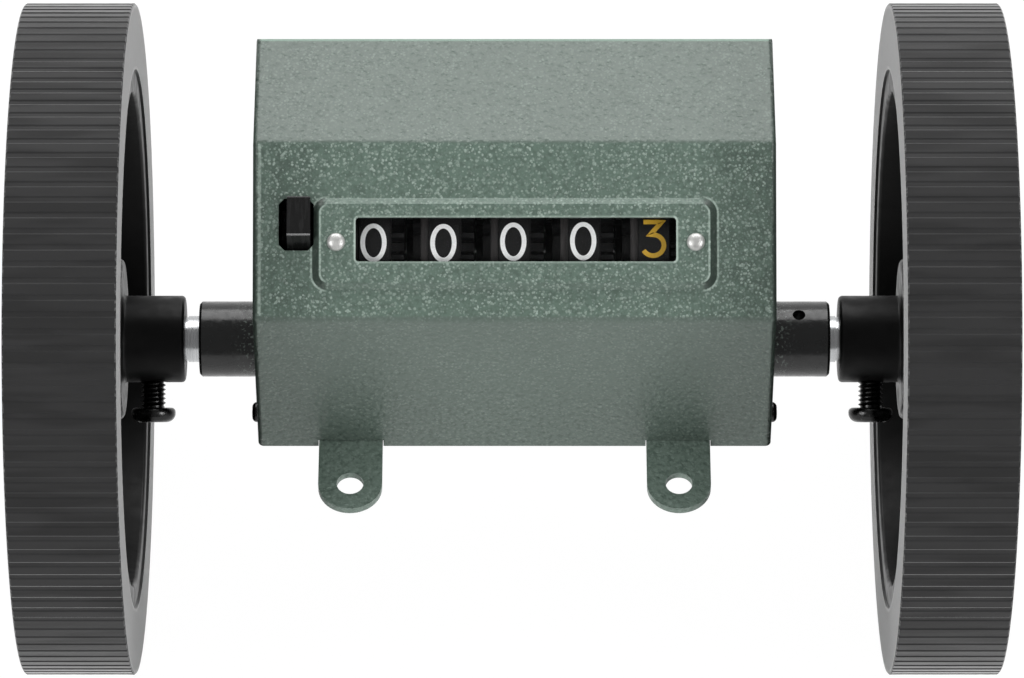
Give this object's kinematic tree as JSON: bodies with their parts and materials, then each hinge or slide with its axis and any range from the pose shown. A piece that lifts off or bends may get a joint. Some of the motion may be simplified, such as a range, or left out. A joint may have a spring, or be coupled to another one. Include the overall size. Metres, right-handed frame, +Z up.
{
  "type": "length counter",
  "caption": "Rolling-wheel length counter: rubber-tyred wheels on a shaft drive number drums in a folded housing with a reset key and four mounting feet.",
  "frame": {"origin": "middle of the four foot holes, on the underside of the mounting feet", "axes": "+X along the wheel shaft, +Y to the back, +Z up"},
  "size_m": [0.1532, 0.1061, 0.1061],
  "materials": {
    "green_paint": "hammer finish",
    "black_paint": "gloss",
    "steel": "ground",
    "wheel_black": "satin",
    "tyre_rubber": "ribbed",
    "black_oxide": "blackened",
    "rivet_metal": "bright",
    "clear_pane": "clear",
    "plated_steel": "plated",
    "drum_black": "satin",
    "gear_brass": "cut",
    "gear_nylon": "moulded",
    "key_black": "moulded",
    "spring_steel": "drawn"
  },
  "bodies": {
    "housing": {"cover": "green_paint", "base_frame": "green_paint", "left_bearing_tube": "black_paint", "right_bearing_tube": "black_paint", "cover_screws": "black_oxide", "face_rivets": "rivet_metal", "window_pane": "clear_pane", "left_side_plate": "plated_steel", "right_side_plate": "plated_steel", "frame_screws": "plated_steel", "drum_shaft": "steel", "pinion_shaft": "steel", "idler_stud": "steel", "idler_clip": "spring_steel", "reset_rod": "steel", "reset_spring": "spring_steel", "rod_clips": "spring_steel"},
    "wheels": {"wheel_shaft": "steel", "left_wheel_disc": "wheel_black", "right_wheel_disc": "wheel_black", "left_tyre": "tyre_rubber", "right_tyre": "tyre_rubber", "set_screws": "black_oxide", "drive_gear": "gear_brass", "shaft_clips": "spring_steel"},
    "idler": {"idler_gear": "gear_nylon"},
    "reset": {"reset_lever": "plated_steel", "reset_key": "key_black"},
    "thousands_figures": {"thousands_drum": "drum_black"},
    "hundreds_figures": {"hundreds_drum": "drum_black"},
    "tens_figures": {"tens_drum": "drum_black"},
    "units_figures": {"units_drum": "drum_black"},
    "tenths_figures": {"tenths_drum": "drum_black"},
    "thousands_transfer": {"thousands_pinion": "gear_nylon"},
    "hundreds_transfer": {"hundreds_pinion": "gear_nylon"},
    "tens_transfer": {"tens_pinion": "gear_nylon"},
    "units_transfer": {"units_pinion": "gear_nylon"}
  },
  "joints": [
    {"name": "wheel_spin", "type": "hinge", "parent": "housing", "child": "wheels", "pos_m": [0, -0.00565, 0.00615], "axis": [1, 0, 0], "continuous": true},
    {"name": "idler_spin", "type": "hinge", "parent": "housing", "child": "idler", "pos_m": [0, 0.00642, 0.01401], "axis": [1, 0, 0], "continuous": true},
    {"name": "tenths_spin", "type": "hinge", "parent": "housing", "child": "tenths_figures", "pos_m": [0, -0.00442, 0.02578], "axis": [1, 0, 0], "continuous": true},
    {"name": "units_spin", "type": "hinge", "parent": "housing", "child": "units_figures", "pos_m": [0, -0.00442, 0.02578], "axis": [1, 0, 0], "continuous": true},
    {"name": "units_pinion_spin", "type": "hinge", "parent": "housing", "child": "units_transfer", "pos_m": [0, 0.00958, 0.02578], "axis": [1, 0, 0], "continuous": true},
    {"name": "tens_spin", "type": "hinge", "parent": "housing", "child": "tens_figures", "pos_m": [0, -0.00442, 0.02578], "axis": [1, 0, 0], "continuous": true},
    {"name": "tens_pinion_spin", "type": "hinge", "parent": "housing", "child": "tens_transfer", "pos_m": [0, 0.00958, 0.02578], "axis": [1, 0, 0], "continuous": true},
    {"name": "hundreds_spin", "type": "hinge", "parent": "housing", "child": "hundreds_figures", "pos_m": [0, -0.00442, 0.02578], "axis": [1, 0, 0], "continuous": true},
    {"name": "hundreds_pinion_spin", "type": "hinge", "parent": "housing", "child": "hundreds_transfer", "pos_m": [0, 0.00958, 0.02578], "axis": [1, 0, 0], "continuous": true},
    {"name": "thousands_spin", "type": "hinge", "parent": "housing", "child": "thousands_figures", "pos_m": [0, -0.00442, 0.02578], "axis": [1, 0, 0], "continuous": true},
    {"name": "thousands_pinion_spin", "type": "hinge", "parent": "housing", "child": "thousands_transfer", "pos_m": [0, 0.00958, 0.02578], "axis": [1, 0, 0], "continuous": true},
    {"name": "reset_press", "type": "hinge", "parent": "housing", "child": "reset", "pos_m": [0, 0.00685, 0.03965], "axis": [1, 0, 0], "range_deg": [0, 8], "stiffness_Nm_per_rad": 0.06, "springref_deg": -17.19, "deforming": ["reset_spring"]}
  ],
  "couplings": [
    {"joint": "idler_spin", "follows": "wheel_spin", "ratio": -0.5},
    {"joint": "tenths_spin", "follows": "wheel_spin", "ratio": 0.33333},
    {"joint": "units_spin", "follows": "wheel_spin", "ratio": 0.033333},
    {"joint": "units_pinion_spin", "follows": "wheel_spin", "ratio": -0.083333},
    {"joint": "tens_spin", "follows": "wheel_spin", "ratio": 0.0033333},
    {"joint": "tens_pinion_spin", "follows": "wheel_spin", "ratio": -0.0083333},
    {"joint": "hundreds_spin", "follows": "wheel_spin", "ratio": 0.00033333},
    {"joint": "hundreds_pinion_spin", "follows": "wheel_spin", "ratio": -0.00083333},
    {"joint": "thousands_spin", "follows": "wheel_spin", "ratio": 0.000033333},
    {"joint": "thousands_pinion_spin", "follows": "wheel_spin", "ratio": -0.000083333}
  ]
}
